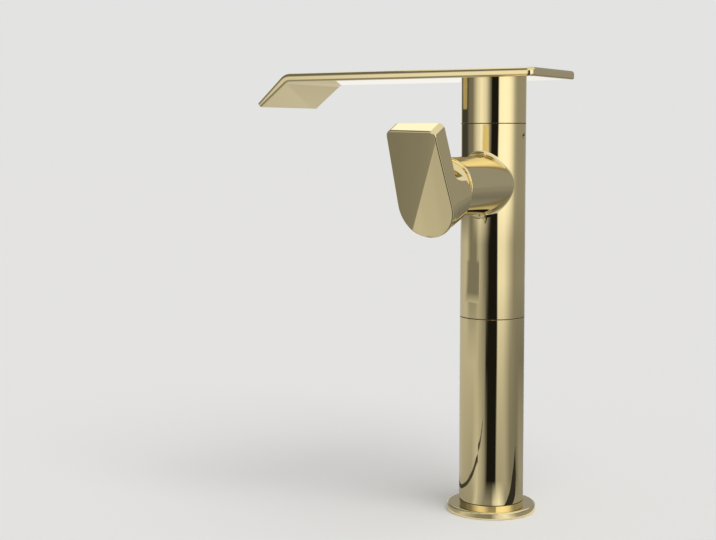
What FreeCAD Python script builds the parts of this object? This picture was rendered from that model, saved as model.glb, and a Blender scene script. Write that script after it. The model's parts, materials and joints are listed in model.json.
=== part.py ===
import FreeCAD, Part
import math
import os
import re
import Sketcher

# Tall single-lever basin faucet with a flat waterfall spout, millimetres and degrees.
# Origin: centre of the base flange on the deck. +Z up, the spout points along -Y and the
# lever's valve housing along +X. The lever stands open, tilted outwards by open_angle.

SIZES = {
    # column, from the deck up
    "column_diameter": 45.0,
    "flange_diameter": 62.0,
    "flange_height": 5.0,
    "foot_height": 2.5,
    "lower_seam": 137.5,
    "upper_seam": 271.0,
    "tube_wall": 2.0,
    "edge_break": 0.35,
    "flange_round": 1.2,
    # clearances between pieces
    "fit_gap": 0.05,
    "slide_gap": 0.15,
    # fixing to the deck
    "adapter_wall": 3.9,
    "shank_wall": 3.0,
    "shank_drop": 50.0,
    "adapter_height": 20.0,
    "shank_lead": 6.0,
    "thread_depth": 0.92,
    "rim_land": 2.5,
    "gasket_width": 3.0,
    "gasket_thickness": 1.5,
    "underside_relief": 0.5,
    "deck_thickness": 20.0,
    "washer_width": 8.1,
    "washer_play": 0.4,
    "rubber_washer": 3.0,
    "steel_washer": 1.5,
    "nut_rim": 4.0,
    "nut_height": 10.0,
    # valve body casting
    "spigot_length": 12.0,
    "spigot_wall": 2.0,
    "core_floor": 206.0,
    "socket_depth": 20.0,
    "socket_wall": 4.5,
    "valve_axis": 229.5,
    "valve_step": 2.8,
    "valve_rim_round": 1.0,
    "saddle_round": 3.5,
    "inlet_spacing": 14.0,
    "inlet_radius": 4.46,
    "inlet_depth": 12.0,
    "riser_radius": 3.0,
    "outlet_chamber_radius": 14.0,
    "outlet_chamber_height": 19.0,
    # spout
    "plate_underside": 301.2,
    "plate_thickness": 6.0,
    "plate_width": 78.5,
    "plate_back": 44.8,
    "bend_reach": 146.3,
    "bend_radius": 12.0,
    "lip_angle": 42.0,
    "lip_length": 30.6,
    "lip_thickness": 4.2,
    "skin": 1.5,
    "side_wall": 2.0,
    "plate_corner": 4.5,
    "plate_top_round": 2.4,
    "plate_low_round": 1.5,
    "neck_bore": 12.0,
    "o_ring_section": 1.56,
    "o_ring_groove": 2.2,
    "neck_clearance": 1.0,
    "screw_groove": 1.2,
    "set_screw_height": 262.5,
    "set_screw_diameter": 4.0,
    "set_screw_length": 5.0,
    # mixing cartridge, one length after another along the valve axis
    "seat_reach": 38.0,
    "plinth_length": 5.0,
    "plinth_spigot": 2.5,
    "disc_thickness": 4.0,
    "pivot_standoff": 14.45,
    "collar_setback": 5.5,
    "collar_thickness": 2.5,
    "nut_length": 7.0,
    "rim_depth": 4.5,
    "cartridge_diameter": 25.0,
    "cartridge_wall": 1.5,
    "collar_step": 1.3,
    "nut_wall": 3.2,
    "shell_neck_wall": 2.15,
    "port_spread": 4.6,
    "port_drop": 3.6,
    "outlet_rise": 4.6,
    "port_radius": 2.4,
    "outlet_radius": 3.0,
    "seal_width": 1.5,
    "seal_depth": 1.5,
    "disc_play": 0.27,
    "guide_leg": 2.0,
    "guide_leg_width": 6.0,
    "driver_plate": 3.0,
    "driver_wall": 2.05,
    "carrier_reach": 6.5,
    "carrier_proud": 1.0,
    "shell_proud": 0.5,
    "shell_lip": 2.2,
    "nut_slot": 3.0,
    "nut_slot_depth": 2.0,
    # stem, pin and dome
    "open_angle": 24.0,
    "stem_width": 7.0,
    "stem_reach": 32.0,
    "stem_heel": 2.5,
    "tail_length": 8.5,
    "tail_radius": 1.6,
    "ball_radius": 2.4,
    "pin_radius": 1.5,
    "dome_wall": 1.2,
    "dome_hole_play": 0.96,
    # lever handle, in its own frame: pivot at the origin, valve axis along X
    "handle_gap": 0.6,
    "handle_front": 37.7,
    "paddle_thickness": 13.2,
    "paddle_top": 56.4,
    "paddle_top_width": 35.3,
    "paddle_width": 38.4,
    "paddle_end_centre": 4.5,
    "paddle_end_height": 22.0,
    "paddle_corner": 4.5,
    "paddle_edge": 1.2,
    "neck_top": 18.0,
    "ridge_rise": 1.2,
    "ridge_round": 4.0,
    "ridge_top_offset": 16.9,
    "ridge_top_height": 48.8,
    "ridge_low_offset": -11.9,
    "ridge_low_height": -12.3,
    "facet_angle": 4.0,
    "neck_inset": 0.3,
    "neck_bury": 2.5,
    "dome_gap": 0.5,
    "lever_screw_reach": 27.0,
    "lever_screw_radius": 2.5,
    "lever_screw_length": 8.0,
    "plug_radius": 3.0,
    "plug_depth": 3.2,
    "plug_floor": -14.4,
}

# sizes that follow from the ones above; stations are measured from the column's axis
FOLLOWING = {
    "shank_diameter": "column_diameter - 2 * (tube_wall + adapter_wall + 2 * fit_gap)",
    "shank_bore": "shank_diameter - 2 * shank_wall",
    "washer_diameter": "shank_diameter + 2 * (washer_play + washer_width)",
    "nut_across_flats": "shank_diameter + 2 * nut_rim",
    "gasket_outer": "flange_diameter - 2 * rim_land",
    "gasket_inner": "gasket_outer - 2 * gasket_width",
    "spigot_radius": "column_diameter / 2 - tube_wall - fit_gap",
    "ring_depth": "o_ring_section - fit_gap / 2",
    "socket_radius": "column_diameter / 2 - socket_wall",
    "valve_diameter": "column_diameter - 2 * valve_step",
    "shell_foot_reach": "seat_reach + plinth_length",
    "disc_reach": "shell_foot_reach + plinth_spigot",
    "moving_disc_reach": "disc_reach + disc_thickness + fit_gap",
    "driver_reach": "moving_disc_reach + disc_thickness",
    "pivot_reach": "driver_reach + pivot_standoff",
    "collar_reach": "pivot_reach - collar_setback",
    "nut_reach": "collar_reach + collar_thickness + nut_length",
    "valve_reach": "nut_reach + rim_depth",
    "collar_diameter": "cartridge_diameter + 2 * collar_step",
    "nut_thread_diameter": "collar_diameter + 8 * fit_gap",
    "neck_diameter": "nut_thread_diameter - 2 * nut_wall",
    "carrier_neck": "neck_diameter - 2 * shell_neck_wall - 2 * slide_gap",
    "pin_length": "carrier_neck - 8 * fit_gap",
    "shell_bore": "cartridge_diameter / 2 - cartridge_wall",
    "shell_step": "collar_reach + shell_lip",
    "carrier_flange": "shell_bore - 2 * slide_gap",
    "disc_rise": "tail_length * sin(open_angle) / 2",
    "moving_disc_radius": "shell_bore - disc_rise - disc_play",
    "leg_outside": "sqrt(carrier_flange ^ 2 - guide_leg_width ^ 2 / 4)",
    "guide_half_width": "leg_outside - guide_leg - slide_gap",
    "dome_radius": "valve_diameter / 2",
    "dome_seat": "sqrt(dome_radius ^ 2 - (valve_reach - pivot_reach) ^ 2) + 2 * fit_gap",
    "stem_swing": "dome_radius * sin(open_angle) + stem_width / 2 * cos(open_angle)",
    "dome_hole_radius": "sqrt(stem_swing ^ 2 + stem_width ^ 2 / 4) + dome_hole_play",
}

WORDS = re.compile(r"[a-z_]+[a-z]")


def sized(text):
    """Turn size names in a formula into references to the sheet."""
    def cell(found):
        word = found.group(0)
        if word in FOLLOWING:
            return "(" + sized(FOLLOWING[word]) + ")"
        return "Sizes." + word if word in SIZES else word
    return WORDS.sub(cell, text)


doc = FreeCAD.newDocument("WaterfallFaucet")
sheet = doc.addObject("Spreadsheet::Sheet", "Sizes")
for row, (alias, size) in enumerate(SIZES.items(), start=1):
    sheet.set(f"A{row}", alias.replace("_", " "))
    sheet.set(f"B{row}", str(size))
    sheet.setAlias(f"B{row}", alias)
doc.recompute()

nodes = []


def number(text):
    """The present value of a formula, in millimetres or degrees."""
    found = sheet.evalExpression(sized(text))
    return float(getattr(found, "Value", found))


def bind(thing, formulas):
    for path, formula in formulas.items():
        thing.setExpression(path, sized(formula))


def keep(thing, label):
    thing.Label = label
    nodes.append(thing)
    return thing


# ---------------------------------------------------------------- sketch helpers

def new_body(label, placement=None):
    body = doc.addObject("PartDesign::Body", label)
    bind(body, placement or {})
    return keep(body, label)


VALVE_FRAME = {".Placement.Base.z": "valve_axis"}


def tilt_open(thing):
    """Move a piece from the lever's own frame to the pivot, tilted to the open position."""
    thing.Placement.Rotation = FreeCAD.Rotation(FreeCAD.Vector(0, 1, 0), number("open_angle"))
    bind(thing, {
        ".Placement.Base.x": "pivot_reach",
        ".Placement.Base.z": "valve_axis",
        ".Placement.Rotation.Angle": "open_angle",
    })
    return thing


def lever_body(label):
    return tilt_open(new_body(label))


def new_sketch(body, role, level="0"):
    """A sketch on one of the body's own origin planes, raised along its normal."""
    sketch = body.newObject("Sketcher::SketchObject", "Sketch")
    plane = next(f for f in body.Origin.OriginFeatures if f.Role == role)
    sketch.AttachmentSupport = (plane, [""])
    sketch.MapMode = "FlatFace"
    bind(sketch, {".AttachmentOffset.Base.z": level})
    return sketch


def pin_point(sketch, geometry, vertex, place):
    """Fix one vertex of a sketch at a pair of formulas."""
    for kind, formula in zip(("DistanceX", "DistanceY"), place):
        rule = Sketcher.Constraint(kind, geometry, vertex, number(formula))
        index = sketch.addConstraint(rule)
        bind(sketch, {f"Constraints[{index}]": formula})


def add_polygon(sketch, corners):
    spots = [FreeCAD.Vector(number(u), number(w), 0) for u, w in corners]
    count = len(corners)
    for index in range(count):
        sketch.addGeometry(Part.LineSegment(spots[index], spots[(index + 1) % count]))
    for index in range(count):
        sketch.addConstraint(Sketcher.Constraint("Coincident", index, 2, (index + 1) % count, 1))
    for index, corner in enumerate(corners):
        pin_point(sketch, index, 1, corner)


def add_rectangle(sketch, left, right, low, high):
    add_polygon(sketch, [(left, low), (right, low), (right, high), (left, high)])


def add_square(sketch, half, height="0"):
    """A square about a point of the sketch's vertical axis."""
    add_rectangle(sketch, f"-{half}", half, f"{height} - {half}", f"{height} + {half}")


def add_circle(sketch, centre, radius):
    spot = FreeCAD.Vector(number(centre[0]), number(centre[1]), 0)
    index = sketch.addGeometry(Part.Circle(spot, FreeCAD.Vector(0, 0, 1), number(radius)))
    pin_point(sketch, index, 3, centre)
    rule = sketch.addConstraint(Sketcher.Constraint("Radius", index, number(radius)))
    bind(sketch, {f"Constraints[{rule}]": radius})


def turn(body, corners, axis="V_Axis"):
    """Revolve a polygon drawn on the XZ plane about the Z axis (V) or the X axis (H)."""
    sketch = new_sketch(body, "XZ_Plane")
    add_polygon(sketch, corners)
    feature = body.newObject("PartDesign::Revolution", "Revolution")
    feature.Profile = sketch
    feature.ReferenceAxis = (sketch, [axis])
    feature.Angle = 360
    return feature


def extrude(body, sketch, length, cut=False, both_ways=False):
    kind = "Pocket" if cut else "Pad"
    feature = body.newObject("PartDesign::" + kind, kind)
    feature.Profile = sketch
    if both_ways:
        feature.SideType = "Symmetric"
    bind(feature, {"Length": length})
    return feature


def drill(body, role, centre, radius, level, depth):
    """Cut a round hole from a level of the plane's normal, back along that normal."""
    sketch = new_sketch(body, role, level)
    add_circle(sketch, centre, radius)
    return extrude(body, sketch, depth, cut=True)


def peg(body, role, centre, radius, level, height):
    sketch = new_sketch(body, role, level)
    add_circle(sketch, centre, radius)
    return extrude(body, sketch, height)


def ease(body, kind, size, wanted):
    """Round or chamfer the edges of the body's last feature that pass a test."""
    doc.recompute()
    base = body.Tip
    shape = base.Shape
    names = [f"Edge{i}" for i, edge in enumerate(shape.Edges, start=1) if wanted(edge, shape)]
    if not names:
        raise RuntimeError(f"{body.Label}: no edge to ease")
    feature = body.newObject("PartDesign::" + kind, kind)
    feature.Base = (base, names)
    bind(feature, {"Radius" if kind == "Fillet" else "Size": size})
    return feature


def near(value, formula, slack=1e-4):
    return abs(value - number(formula)) < slack


def round_edge(radius, level, axis="z"):
    """Test for a full circular edge of one radius about the body's own axis."""
    def test(edge, shape):
        if edge.Curve.TypeId != "Part::GeomCircle" or not near(edge.Curve.Radius, radius):
            return False
        return near(getattr(edge.Curve.Center, axis), level)
    return test


def ring(label, inner, outer, low, high):
    """A plain ring about the column axis."""
    body = new_body(label)
    turn(body, [(inner, low), (outer, low), (outer, high), (inner, high)])
    return body


# ---------------------------------------------------------------- primitive helpers

def primitive(kind, sizes, place=("0", "0", "0"), turned=None):
    """A Part primitive with bound sizes and place, tipped about one axis if asked."""
    thing = doc.addObject("Part::" + kind, kind)
    if turned:
        axis, angle = turned
        thing.Placement.Rotation = FreeCAD.Rotation(FreeCAD.Vector(*axis), angle)
    bind(thing, sizes)
    bind(thing, {f".Placement.Base.{axis}": formula for axis, formula in zip("xyz", place)})
    return thing


def join(kind, first, others):
    """Boolean of one object with others: Cut, Common or MultiFuse."""
    if kind == "MultiFuse":
        result = doc.addObject("Part::MultiFuse", "MultiFuse")
        result.Shapes = [first] + others
        return result
    tool = others[0]
    if len(others) > 1:
        tool = join("MultiFuse", others[0], others[1:])
    result = doc.addObject("Part::" + kind, kind)
    result.Base = first
    result.Tool = tool
    return result


ALONG_X = ((0, 1, 0), 90)
ALONG_Y = ((1, 0, 0), -90)


# ---------------------------------------------------------------- column and base

FOOT_TOP = "flange_height + foot_height"


def make_base():
    bore = "shank_diameter / 2 + slide_gap"
    flange = new_body("base_flange")
    turn(flange, [
        (bore, "underside_relief"),
        ("gasket_inner / 2", "underside_relief"),
        ("gasket_inner / 2", "gasket_thickness"),
        ("gasket_outer / 2", "gasket_thickness"),
        ("gasket_outer / 2", "0"),
        ("flange_diameter / 2", "0"),
        ("flange_diameter / 2", "flange_height"),
        ("column_diameter / 2", "flange_height"),
        ("column_diameter / 2", FOOT_TOP),
        (bore, FOOT_TOP),
    ])
    ease(flange, "Fillet", "flange_round", round_edge("flange_diameter / 2", "flange_height"))
    ease(flange, "Fillet", "edge_break", round_edge("column_diameter / 2", FOOT_TOP))
    ring("base_gasket", "gasket_inner / 2 + fit_gap", "gasket_outer / 2 - fit_gap",
         "0", "gasket_thickness")


def make_column():
    outer = "column_diameter / 2"
    tube = ring("extension_tube", outer + " - tube_wall", outer, FOOT_TOP, "lower_seam")
    for level in (FOOT_TOP, "lower_seam"):
        ease(tube, "Chamfer", "edge_break", round_edge(outer, level))
    adapter_top = FOOT_TOP + " + adapter_height"
    ring("foot_adapter", "shank_diameter / 2 + fit_gap", outer + " - tube_wall - fit_gap",
         FOOT_TOP, adapter_top)
    shank = new_body("mounting_shank")
    lead_radius, lead_top = "shank_diameter / 2 - thread_depth", "-shank_drop + shank_lead"
    turn(shank, [
        ("shank_bore / 2", "-shank_drop"),
        (lead_radius, "-shank_drop"),
        (lead_radius, lead_top),
        ("shank_diameter / 2", lead_top),
        ("shank_diameter / 2", adapter_top),
        ("shank_bore / 2", adapter_top),
    ])
    ease(shank, "Chamfer", "edge_break", round_edge("shank_diameter / 2", lead_top))


def make_deck_fixing():
    bore = "shank_diameter / 2 + washer_play"
    rubber_low = "-deck_thickness - rubber_washer"
    steel_low = rubber_low + " - steel_washer"
    ring("rubber_washer", bore, "washer_diameter / 2", rubber_low, "-deck_thickness")
    ring("steel_washer", bore, "washer_diameter / 2", steel_low, rubber_low)
    nut_low = steel_low + " - nut_height"
    hexagon = primitive("Prism", {"Circumradius": "nut_across_flats / 2 / cos(30)",
                                  "Height": "nut_height"}, ("0", "0", nut_low))
    bore = primitive("Cylinder", {"Radius": "shank_diameter / 2 + fit_gap",
                                  "Height": "nut_height"}, ("0", "0", nut_low))
    keep(join("Cut", hexagon, [bore]), "mounting_nut")


# ---------------------------------------------------------------- valve body

def groove_corners(radius, depth, centre, width):
    """Four corners of a square groove in a wall of one radius, from the bottom up."""
    low = f"{centre} - {width} / 2"
    high = f"{centre} + {width} / 2"
    return [(radius, low), (f"{radius} - {depth}", low), (f"{radius} - {depth}", high), (radius, high)]


BODY_RING_HEIGHT = "(lower_seam - spigot_length / 2)"


def make_valve_body():
    outer = "column_diameter / 2"
    spigot_low = "lower_seam - spigot_length"
    body = new_body("valve_body")
    corners = [("0", spigot_low), ("spigot_radius", spigot_low)]
    corners += groove_corners("spigot_radius", "ring_depth", BODY_RING_HEIGHT, "o_ring_groove")
    corners += [("spigot_radius", "lower_seam"), (outer, "lower_seam"), (outer, "upper_seam"),
                ("0", "upper_seam")]
    turn(body, corners)
    peg(body, "YZ_Plane", ("0", "valve_axis"), "valve_diameter / 2", "0", "valve_reach")
    ease(body, "Fillet", "saddle_round", is_saddle)
    ease(body, "Fillet", "valve_rim_round", round_edge("valve_diameter / 2", "valve_reach", "x"))
    for level in ("lower_seam", "upper_seam"):
        ease(body, "Chamfer", "edge_break", round_edge(outer, level))

    drill(body, "XY_Plane", ("0", "0"), "spigot_radius - spigot_wall - o_ring_section",
          "core_floor", f"core_floor - ({spigot_low})")
    drill(body, "XY_Plane", ("0", "0"), "socket_radius", "upper_seam", "socket_depth")
    axis = ("0", "valve_axis")
    drill(body, "YZ_Plane", axis, "dome_seat", "valve_reach", "rim_depth")
    drill(body, "YZ_Plane", axis, "nut_thread_diameter / 2", "valve_reach", "valve_reach - collar_reach")
    drill(body, "YZ_Plane", axis, "cartridge_diameter / 2 + slide_gap", "valve_reach",
          "valve_reach - seat_reach")

    for side in ("-", ""):
        drill(body, "YZ_Plane", (side + "port_spread", "valve_axis - port_drop"), "port_radius",
              "seat_reach", "seat_reach + port_radius")
        inlet = ("0", side + "inlet_spacing / 2")
        drill(body, "XY_Plane", inlet, "riser_radius", "valve_axis - port_drop + port_radius",
              "valve_axis - port_drop + port_radius - core_floor")
        drill(body, "XY_Plane", inlet, "inlet_radius", "core_floor + inlet_depth", "inlet_depth")
    drill(body, "YZ_Plane", ("0", "valve_axis + outlet_rise"), "outlet_radius",
          "seat_reach", "seat_reach + outlet_radius")
    drill(body, "XY_Plane", ("0", "0"), "outlet_chamber_radius", "upper_seam - socket_depth",
          "outlet_chamber_height")
    drill(body, "XZ_Plane", ("0", "set_screw_height"), "set_screw_diameter / 2 + fit_gap",
          "-socket_radius + screw_groove", outer)


def is_saddle(edge, shape):
    """The curve where the valve housing leaves the column."""
    faces = shape.ancestorsOfType(edge, Part.Face)
    radii = sorted(f.Surface.Radius for f in faces if f.Surface.TypeId == "Part::GeomCylinder")
    if len(radii) != 2:
        return False
    return near(radii[0], "valve_diameter / 2") and near(radii[1], "column_diameter / 2")


def make_body_ring():
    torus = primitive("Torus", {
        "Radius1": "spigot_radius - ring_depth + o_ring_section / 2",
        "Radius2": "o_ring_section / 2",
    }, ("0", "0", BODY_RING_HEIGHT))
    keep(torus, "body_o_ring")


# ---------------------------------------------------------------- spout

NECK_LOW = "(upper_seam - socket_depth + neck_clearance)"
NECK_RADIUS = "(socket_radius - fit_gap * 2)"
NECK_RINGS = {
    "lower_neck_o_ring": f"({NECK_LOW} + 1.4 * o_ring_groove)",
    "upper_neck_o_ring": f"({NECK_LOW} + 2.8 * o_ring_groove)",
}


def make_neck():
    corners = [("neck_bore", NECK_LOW), (NECK_RADIUS, NECK_LOW)]
    for height in NECK_RINGS.values():
        corners += groove_corners(NECK_RADIUS, "ring_depth", height, "o_ring_groove")
    corners += groove_corners(NECK_RADIUS, "screw_groove", "set_screw_height", "1.25 * set_screw_diameter")
    outer = "column_diameter / 2"
    corners += [(NECK_RADIUS, "upper_seam"), (outer, "upper_seam"), (outer, "plate_underside"),
                ("neck_bore", "plate_underside")]
    neck = new_body("spout_neck")
    turn(neck, corners)
    ease(neck, "Chamfer", "edge_break", round_edge(outer, "upper_seam"))
    for label, height in NECK_RINGS.items():
        torus = primitive("Torus", {
            "Radius1": f"{NECK_RADIUS} - ring_depth + o_ring_section / 2",
            "Radius2": "o_ring_section / 2",
        }, ("0", "0", height))
        keep(torus, label)
    tip = f"{NECK_RADIUS} - screw_groove + slide_gap"
    screw = primitive("Cylinder", {"Radius": "set_screw_diameter / 2", "Height": "set_screw_length"},
                      ("0", tip, "set_screw_height"), ALONG_Y)
    socket = primitive("Prism", {"Circumradius": "set_screw_diameter / 4", "Height": "set_screw_length"},
                       ("0", f"{tip} + set_screw_length / 2", "set_screw_height"), ALONG_Y)
    keep(join("Cut", screw, [socket]), "spout_set_screw")


def along_lip(distance, depth):
    """A point of the spout's side view, beside the bend's upper apex: so far down the lip's
    top line, and so deep below it."""
    y = f"-bend_reach - ({distance}) * cos(lip_angle) + ({depth}) * sin(lip_angle)"
    z = (f"plate_underside + plate_thickness - ({distance}) * sin(lip_angle)"
         f" - ({depth}) * cos(lip_angle)")
    return y, z


def apex(depth):
    """The bend's corner on a line so deep below the top."""
    return (f"-bend_reach + ({depth}) * tan(lip_angle / 2)",
            f"plate_underside + plate_thickness - ({depth})")


def bend_edge(depth):
    """Test for the fold line at a depth, which runs along X."""
    y, z = apex(depth)

    def test(edge, shape):
        middle = edge.CenterOfMass
        across = edge.BoundBox.XLength > 1 and edge.BoundBox.YLength < 1e-3
        return across and near(middle.y, y, 1e-3) and near(middle.z, z, 1e-3)
    return test


def back_corner(edge, shape):
    upright = edge.BoundBox.ZLength > 1 and edge.BoundBox.XLength < 1e-3
    return upright and near(edge.CenterOfMass.y, "plate_back", 1e-3)


def face_normal(face):
    u_low, u_high, v_low, v_high = face.ParameterRange
    return face.normalAt((u_low + u_high) / 2, (v_low + v_high) / 2)


def rim_of(is_skin):
    """Test for edges between the faces of one skin of the plate and its upright sides."""
    def test(edge, shape):
        normals = [face_normal(face) for face in shape.ancestorsOfType(edge, Part.Face)]
        on_skin = any(is_skin(n) for n in normals)
        on_side = any(abs(n.z) < 0.05 and n.y > -0.5 for n in normals)
        return on_skin and on_side
    return test


def make_spout():
    top = new_body("spout_top_shell")
    side_view = new_sketch(top, "YZ_Plane")
    add_polygon(side_view, [
        ("plate_back", "plate_underside"),
        ("plate_back", "plate_underside + plate_thickness"),
        apex("0"),
        along_lip("lip_length", "0"),
        along_lip("lip_length", "lip_thickness"),
        apex("plate_thickness"),
    ])
    extrude(top, side_view, "plate_width", both_ways=True)
    ease(top, "Fillet", "bend_radius", bend_edge("0"))
    ease(top, "Fillet", "bend_radius - plate_thickness", bend_edge("plate_thickness"))
    ease(top, "Fillet", "plate_corner", back_corner)
    ease(top, "Fillet", "plate_top_round", rim_of(lambda n: n.z > 0.5))
    ease(top, "Fillet", "plate_low_round", rim_of(lambda n: n.z < -0.5 and n.y > -0.1))

    cavity = new_sketch(top, "YZ_Plane")
    add_polygon(cavity, [
        ("plate_back - side_wall", "plate_underside - 1"),
        ("plate_back - side_wall", "plate_underside + plate_thickness - skin"),
        apex("skin"),
        along_lip("lip_length + 1", "skin"),
        along_lip("lip_length + 1", "plate_thickness + 1"),
        apex("plate_thickness + 1"),
    ])
    extrude(top, cavity, "plate_width - 2 * side_wall", cut=True, both_ways=True)
    ease(top, "Fillet", "bend_radius - skin", bend_edge("skin"))

    floor = new_body("spout_bottom_plate")
    side_view = new_sketch(floor, "YZ_Plane")
    back = "plate_back - side_wall - fit_gap"
    add_polygon(side_view, [
        (back, "plate_underside"),
        (back, "plate_underside + skin"),
        apex("plate_thickness - skin"),
        along_lip("lip_length", "lip_thickness - skin"),
        along_lip("lip_length", "lip_thickness"),
        apex("plate_thickness"),
    ])
    extrude(floor, side_view, "plate_width - 2 * side_wall - 2 * fit_gap", both_ways=True)
    ease(floor, "Fillet", "bend_radius - plate_thickness + skin", bend_edge("plate_thickness - skin"))
    ease(floor, "Fillet", "bend_radius - plate_thickness", bend_edge("plate_thickness"))
    drill(floor, "XY_Plane", ("0", "0"), "neck_bore", "plate_underside + skin", "skin")


# ---------------------------------------------------------------- mixing cartridge

PORTS = (
    ("-port_spread", "-port_drop", "port_radius"),
    ("port_spread", "-port_drop", "port_radius"),
    ("0", "outlet_rise", "outlet_radius"),
)


def disc_frame():
    """The sliding disc rests above the valve axis by half its stroke."""
    return {".Placement.Base.z": "valve_axis + disc_rise"}


def make_cartridge_base():
    base = new_body("cartridge_base", VALVE_FRAME)
    outer = "cartridge_diameter / 2"
    inner = "shell_bore - fit_gap"
    turn(base, [("seat_reach", "0"), ("seat_reach", outer), ("shell_foot_reach", outer),
                ("shell_foot_reach", inner), ("disc_reach", inner), ("disc_reach", "0")], "H_Axis")
    for y, z, radius in PORTS:
        drill(base, "YZ_Plane", (y, z), radius, "disc_reach", "disc_reach - seat_reach")
        drill(base, "YZ_Plane", (y, z), f"{radius} + seal_width + fit_gap",
              "seat_reach + seal_depth", "seal_depth")
    seals = []
    for y, z, radius in PORTS:
        place = ("seat_reach", y, f"valve_axis + {z}")
        outer = primitive("Cylinder", {"Radius": f"{radius} + seal_width", "Height": "seal_depth"},
                          place, ALONG_X)
        inner = primitive("Cylinder", {"Radius": radius, "Height": "seal_depth"}, place, ALONG_X)
        seals.append(join("Cut", outer, [inner]))
    keep(join("MultiFuse", seals[0], seals[1:]), "cartridge_port_seals")


def make_fixed_disc():
    disc = new_body("fixed_ceramic_disc", VALVE_FRAME)
    end = "disc_reach + disc_thickness"
    radius = "shell_bore - slide_gap"
    turn(disc, [("disc_reach", "0"), ("disc_reach", radius), (end, radius), (end, "0")], "H_Axis")
    for y, z, radius in PORTS:
        drill(disc, "YZ_Plane", (y, z), radius, end, "disc_thickness")


def flat_sided(body, start, end):
    """A disc along the valve axis with two flats that slide between the carrier's legs."""
    turn(body, [(start, "0"), (start, "moving_disc_radius"), (end, "moving_disc_radius"), (end, "0")],
         "H_Axis")
    for side in ("", "-"):
        sketch = new_sketch(body, "YZ_Plane", end)
        inner, outer = f"{side}guide_half_width", f"{side}1.2 * moving_disc_radius"
        add_rectangle(sketch, inner, outer, "-moving_disc_radius", "moving_disc_radius")
        extrude(body, sketch, f"{end} - ({start})", cut=True)


def make_sliding_pieces():
    disc = new_body("moving_ceramic_disc", disc_frame())
    flat_sided(disc, "moving_disc_reach", "driver_reach")
    drill(disc, "YZ_Plane", ("0", "0"), "moving_disc_radius / 2",
          "moving_disc_reach + disc_thickness / 2", "disc_thickness / 2")

    driver = new_body("disc_driver", disc_frame())
    plate_end = "driver_reach + driver_plate"
    flat_sided(driver, "driver_reach", plate_end)
    block = new_sketch(driver, "YZ_Plane", plate_end)
    half = "(ball_radius + slide_gap)"
    add_square(block, f"({half} + driver_wall)", "disc_rise")
    block_end = "pivot_reach - tail_length + ball_radius * 0.7"
    extrude(driver, block, f"{block_end} - ({plate_end})")
    pocket = new_sketch(driver, "YZ_Plane", block_end)
    add_square(pocket, half, "disc_rise")
    pocket_floor = "pivot_reach - tail_length - ball_radius - 2 * slide_gap"
    extrude(driver, pocket, f"{block_end} - ({pocket_floor})", cut=True)


def make_shell():
    outer = "cartridge_diameter / 2"
    collar_end = "collar_reach + collar_thickness"
    neck_end = "nut_reach + shell_proud"
    neck_bore = "carrier_neck / 2 + slide_gap"
    shell = new_body("cartridge_shell", VALVE_FRAME)
    turn(shell, [
        ("shell_foot_reach", "shell_bore"),
        ("shell_foot_reach", outer),
        ("collar_reach", outer),
        ("collar_reach", "collar_diameter / 2"),
        (collar_end, "collar_diameter / 2"),
        (collar_end, "neck_diameter / 2"),
        (neck_end, "neck_diameter / 2"),
        (neck_end, neck_bore),
        ("shell_step", neck_bore),
        ("shell_step", "shell_bore"),
    ], "H_Axis")


def make_carrier():
    """The turning guide that holds the stem's pin and, by two legs, the sliding driver."""
    flange_start = "(pivot_reach - carrier_reach)"
    flange_end = "shell_step - slide_gap"
    end = "nut_reach + carrier_proud"
    leg_start = "(driver_reach + 2 * slide_gap)"
    carrier = new_body("temperature_carrier", VALVE_FRAME)
    turn(carrier, [(flange_start, "0"), (flange_start, "carrier_flange"), (flange_end, "carrier_flange"),
                   (flange_end, "carrier_neck / 2"), (end, "carrier_neck / 2"), (end, "0")], "H_Axis")
    for side in ("", "-"):
        sketch = new_sketch(carrier, "YZ_Plane", leg_start)
        add_rectangle(sketch, f"{side}(guide_half_width + slide_gap)", f"{side}leg_outside",
                      "-guide_leg_width / 2", "guide_leg_width / 2")
        extrude(carrier, sketch, f"{flange_start} - {leg_start} + edge_break")
    slot = new_sketch(carrier, "YZ_Plane", end)
    half = "(stem_width / 2 + slide_gap)"
    drop = f"-({half} + ({end} - pivot_reach) * tan(open_angle) + 2 * slide_gap)"
    rise = f"({half} + ball_radius)"
    add_rectangle(slot, f"-{half}", half, drop, rise)
    extrude(carrier, slot, f"{end} - {flange_start}", cut=True)
    drill(carrier, "XZ_Plane", ("pivot_reach", "0"), "pin_radius", "carrier_neck", "2 * carrier_neck")
    pin = primitive("Cylinder", {"Radius": "pin_radius", "Height": "pin_length"},
                    ("pivot_reach", "-pin_length / 2", "valve_axis"), ALONG_Y)
    keep(pin, "stem_pin")


def make_retaining_nut():
    """Slotted ring nut that clamps the cartridge's collar."""
    outer = "nut_thread_diameter / 2 - fit_gap"
    inner = "neck_diameter / 2 + slide_gap"
    start = "collar_reach + collar_thickness"
    nut = new_body("cartridge_nut", VALVE_FRAME)
    turn(nut, [(start, inner), (start, outer), ("nut_reach", outer), ("nut_reach", inner)], "H_Axis")
    reach, half_slot = "nut_thread_diameter", "nut_slot / 2"
    for half_y, half_z in ((half_slot, reach), (reach, half_slot)):
        sketch = new_sketch(nut, "YZ_Plane", "nut_reach")
        add_rectangle(sketch, f"-{half_y}", half_y, f"-{half_z}", half_z)
        extrude(nut, sketch, "nut_slot_depth", cut=True)


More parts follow.
